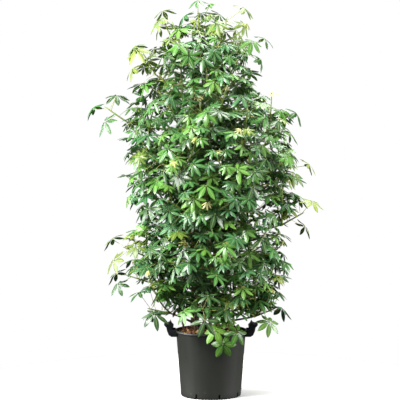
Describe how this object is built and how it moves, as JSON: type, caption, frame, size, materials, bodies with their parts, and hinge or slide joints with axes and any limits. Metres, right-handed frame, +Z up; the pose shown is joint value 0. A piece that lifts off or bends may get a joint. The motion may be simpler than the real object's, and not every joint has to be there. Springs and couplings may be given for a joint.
{
  "type": "potted umbrella plant",
  "caption": "Bushy dwarf schefflera on a coir pole in a black nursery pot with two clip-on carrying handles.",
  "frame": {"origin": "middle of the pot's underside", "axes": "+Z up, +X to the right and -Y to the front as the plant is seen in the picture"},
  "size_m": [1.1644, 0.8654, 1.962],
  "materials": {
    "pot_plastic": "satin",
    "handle_plastic": "satin",
    "potting_bark": "matte",
    "coir": "matte",
    "stem_wood": "matte",
    "leaf_green": "satin",
    "leaf_young": "satin"
  },
  "bodies": {
    "root": {"pot": "pot_plastic", "handle_left": "handle_plastic", "handle_right": "handle_plastic", "bark": "potting_bark", "moss_pole": "coir", "stem_1": "stem_wood", "stem_2": "stem_wood", "stem_3": "stem_wood", "stem_4": "stem_wood", "stem_5": "stem_wood", "stem_6": "stem_wood", "stem_7": "stem_wood", "shoot_01": "leaf_green", "shoot_02": "leaf_green", "shoot_03": "leaf_green", "shoot_04": "leaf_green", "shoot_05": "leaf_green", "shoot_06": "leaf_green", "shoot_07": "leaf_green", "shoot_08": "leaf_green", "shoot_09": "leaf_young", "shoot_10": "leaf_young", "shoot_11": "leaf_green", "shoot_12": "leaf_young", "shoot_13": "leaf_green", "shoot_14": "leaf_green", "shoot_15": "leaf_young", "shoot_16": "leaf_young", "shoot_17": "leaf_young", "shoot_18": "leaf_green", "shoot_19": "leaf_green", "shoot_20": "leaf_green", "shoot_21": "leaf_green", "shoot_22": "leaf_green", "shoot_23": "leaf_green", "shoot_24": "leaf_green", "shoot_25": "leaf_green", "shoot_26": "leaf_green", "shoot_27": "leaf_green", "shoot_28": "leaf_green", "shoot_29": "leaf_green", "shoot_30": "leaf_green", "shoot_31": "leaf_green", "shoot_32": "leaf_green", "shoot_33": "leaf_green", "shoot_34": "leaf_green", "shoot_35": "leaf_green", "shoot_36": "leaf_green", "shoot_37": "leaf_green", "shoot_38": "leaf_green", "shoot_39": "leaf_green", "shoot_40": "leaf_green", "shoot_41": "leaf_green"}
  },
  "joints": []
}
